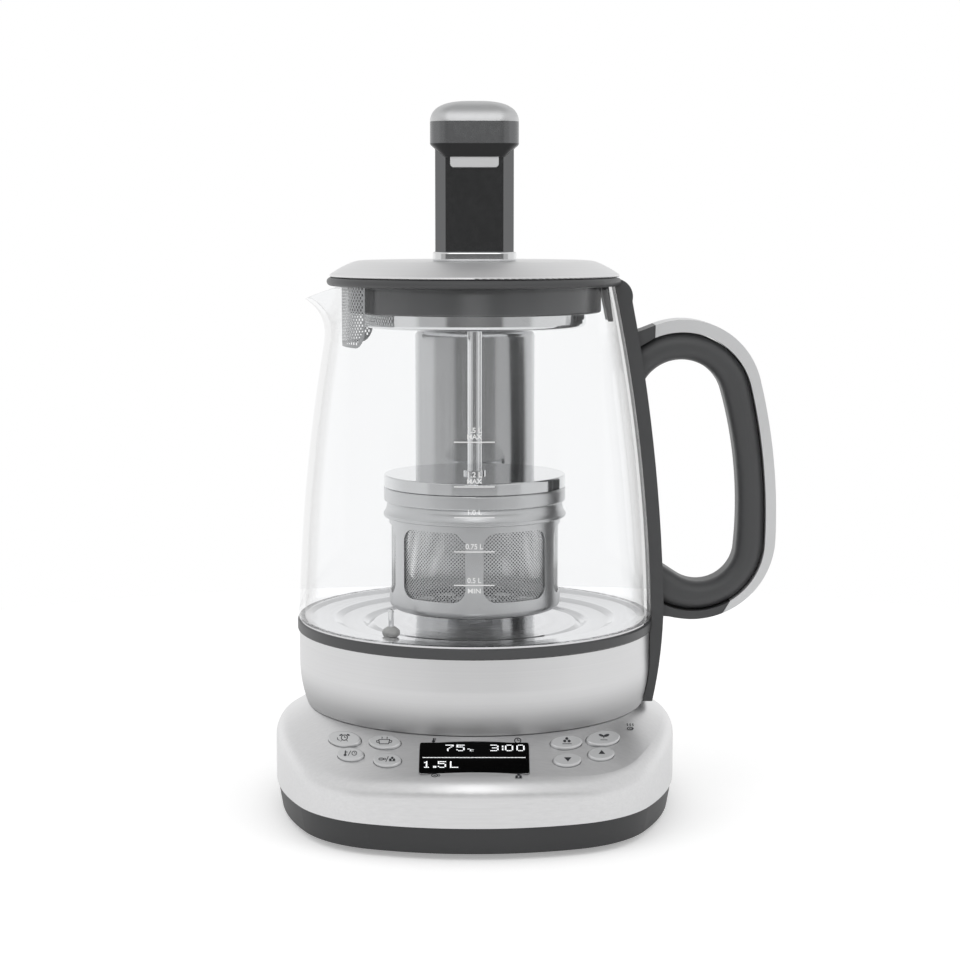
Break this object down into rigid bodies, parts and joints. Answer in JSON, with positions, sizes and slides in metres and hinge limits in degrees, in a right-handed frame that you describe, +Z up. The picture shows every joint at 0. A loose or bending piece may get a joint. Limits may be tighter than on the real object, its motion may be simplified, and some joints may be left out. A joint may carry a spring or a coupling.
{
  "type": "automatic tea maker",
  "caption": "Glass tea maker on a steel power base, with a motor-lifted infuser basket, a lid tower that takes the basket's rod, a loop handle and a sloping button panel.",
  "frame": {"origin": "on the table under the jug's axis, level with the feet", "axes": "+Z up along the jug's axis, +X towards the handle, -X towards the spout, -Y towards the control panel"},
  "size_m": [0.2355, 0.2118, 0.329],
  "materials": {
    "steel_brushed": "satin",
    "steel_bright": "polished",
    "dark_plastic": "matte",
    "dark_gloss": "gloss",
    "clear_glass": "clear",
    "display_glass": "gloss",
    "silver_plastic": "satin",
    "soft_rubber": "matte",
    "silicone": "matte",
    "board_green": "satin",
    "white_plastic": "matte",
    "plated_steel": "satin",
    "lens_black": "gloss",
    "tin_element": "satin"
  },
  "bodies": {
    "power_base": {"base_housing": "steel_brushed", "base_skirt": "dark_plastic", "base_feet": "soft_rubber", "base_screws": "plated_steel", "display_window": "display_glass", "display_module": "lens_black", "control_board": "board_green", "button_switches": "lens_black", "power_board": "board_green", "coupler_socket": "dark_plastic", "cord_gland": "soft_rubber"},
    "coupler_turntable": {"coupler_cap": "dark_plastic"},
    "jug": {"glass_jug": "clear_glass", "rim_ring": "dark_plastic", "spout_filter": "steel_brushed", "base_ring": "dark_plastic", "heater_band": "steel_brushed", "heating_plate": "steel_bright", "heating_element": "tin_element", "thermostats": "plated_steel", "temperature_probe": "steel_bright", "probe_grommet": "silicone", "coupler_plug": "dark_plastic", "jug_floor": "dark_plastic", "jug_screws": "plated_steel", "drive_pillar": "steel_bright", "pillar_seal": "silicone", "lift_motor": "plated_steel", "screw_bearing": "white_plastic", "handle_strip": "dark_plastic", "handle_grip": "dark_plastic", "handle_trim": "silver_plastic", "rim_keeper": "dark_plastic", "handle_screws": "plated_steel"},
    "basket": {"basket_cup": "steel_bright", "basket_mesh": "steel_brushed", "basket_carrier": "steel_bright", "bracket_magnets": "plated_steel"},
    "basket_cover": {"basket_lid": "steel_bright", "lift_rod": "steel_bright"},
    "carriage": {"magnet_carriage": "white_plastic"},
    "screw": {"lead_screw": "plated_steel"},
    "lid": {"lid_cap": "steel_brushed", "lid_seal": "soft_rubber", "lid_cup": "steel_bright", "lid_screws": "plated_steel", "tower_collar": "steel_bright", "tower_shell": "dark_gloss", "tower_head": "dark_plastic", "tower_cap": "silver_plastic"},
    "release": {"trigger": "silver_plastic", "trigger_spring": "plated_steel"},
    "button_clock_key": {"button_clock": "silver_plastic"},
    "button_keep_key": {"button_keep": "silver_plastic"},
    "button_temperature_key": {"button_temperature": "silver_plastic"},
    "button_strength_key": {"button_strength": "silver_plastic"},
    "button_basket_key": {"button_basket": "silver_plastic"},
    "button_start_key": {"button_start": "silver_plastic"},
    "button_down_key": {"button_down": "silver_plastic"},
    "button_up_key": {"button_up": "silver_plastic"}
  },
  "joints": [
    {"name": "coupler_turn", "type": "hinge", "parent": "power_base", "child": "coupler_turntable", "pos_m": [0, 0, 0.05], "axis": [0, 0, 1], "continuous": true},
    {"name": "jug_lift", "type": "slide", "parent": "coupler_turntable", "child": "jug", "axis": [0, 0, 1], "range_m": [0, 0.15]},
    {"name": "lid_lift", "type": "slide", "parent": "jug", "child": "lid", "axis": [0, 0, 1], "range_m": [0, 0.12]},
    {"name": "basket_lift", "type": "slide", "parent": "jug", "child": "basket", "axis": [0, 0, 1], "range_m": [0, 0.064]},
    {"name": "carriage_slide", "type": "slide", "parent": "jug", "child": "carriage", "axis": [0, 0, 1], "range_m": [0, 0.064]},
    {"name": "screw_turn", "type": "hinge", "parent": "jug", "child": "screw", "pos_m": [0, 0.0465, 0.15], "axis": [0, 0, 1], "range_deg": [0, 1925]},
    {"name": "cover_lift", "type": "slide", "parent": "basket", "child": "basket_cover", "axis": [0, 0, 1], "range_m": [0, 0.045]},
    {"name": "release_pull", "type": "slide", "parent": "lid", "child": "release", "axis": [0, 0, 1], "range_m": [0, 0.003], "stiffness_N_per_m": 400, "springref_m": -0.001, "deforming": ["trigger_spring"]},
    {"name": "button_clock_press", "type": "slide", "parent": "power_base", "child": "button_clock_key", "axis": [0.3462, 0.3913, -0.8526], "range_m": [0, 0.0008], "stiffness_N_per_m": 600, "springref_m": -0.0005},
    {"name": "button_keep_press", "type": "slide", "parent": "power_base", "child": "button_keep_key", "axis": [0.2413, 0.4635, -0.8526], "range_m": [0, 0.0008], "stiffness_N_per_m": 600, "springref_m": -0.0005},
    {"name": "button_temperature_press", "type": "slide", "parent": "power_base", "child": "button_temperature_key", "axis": [0.3027, 0.4259, -0.8526], "range_m": [0, 0.0008], "stiffness_N_per_m": 600, "springref_m": -0.0005},
    {"name": "button_strength_press", "type": "slide", "parent": "power_base", "child": "button_strength_key", "axis": [0.21, 0.4784, -0.8526], "range_m": [0, 0.0008], "stiffness_N_per_m": 600, "springref_m": -0.0005},
    {"name": "button_basket_press", "type": "slide", "parent": "power_base", "child": "button_basket_key", "axis": [-0.2469, 0.4605, -0.8526], "range_m": [0, 0.0008], "stiffness_N_per_m": 600, "springref_m": -0.0005},
    {"name": "button_start_press", "type": "slide", "parent": "power_base", "child": "button_start_key", "axis": [-0.3442, 0.3931, -0.8526], "range_m": [0, 0.0008], "stiffness_N_per_m": 600, "springref_m": -0.0005},
    {"name": "button_down_press", "type": "slide", "parent": "power_base", "child": "button_down_key", "axis": [-0.2241, 0.472, -0.8526], "range_m": [0, 0.0008], "stiffness_N_per_m": 600, "springref_m": -0.0005},
    {"name": "button_up_press", "type": "slide", "parent": "power_base", "child": "button_up_key", "axis": [-0.3101, 0.4206, -0.8526], "range_m": [0, 0.0008], "stiffness_N_per_m": 600, "springref_m": -0.0005}
  ],
  "couplings": [
    {"joint": "carriage_slide", "follows": "basket_lift", "ratio": 1},
    {"joint": "screw_turn", "follows": "basket_lift", "rad_per_m": 523.6}
  ]
}
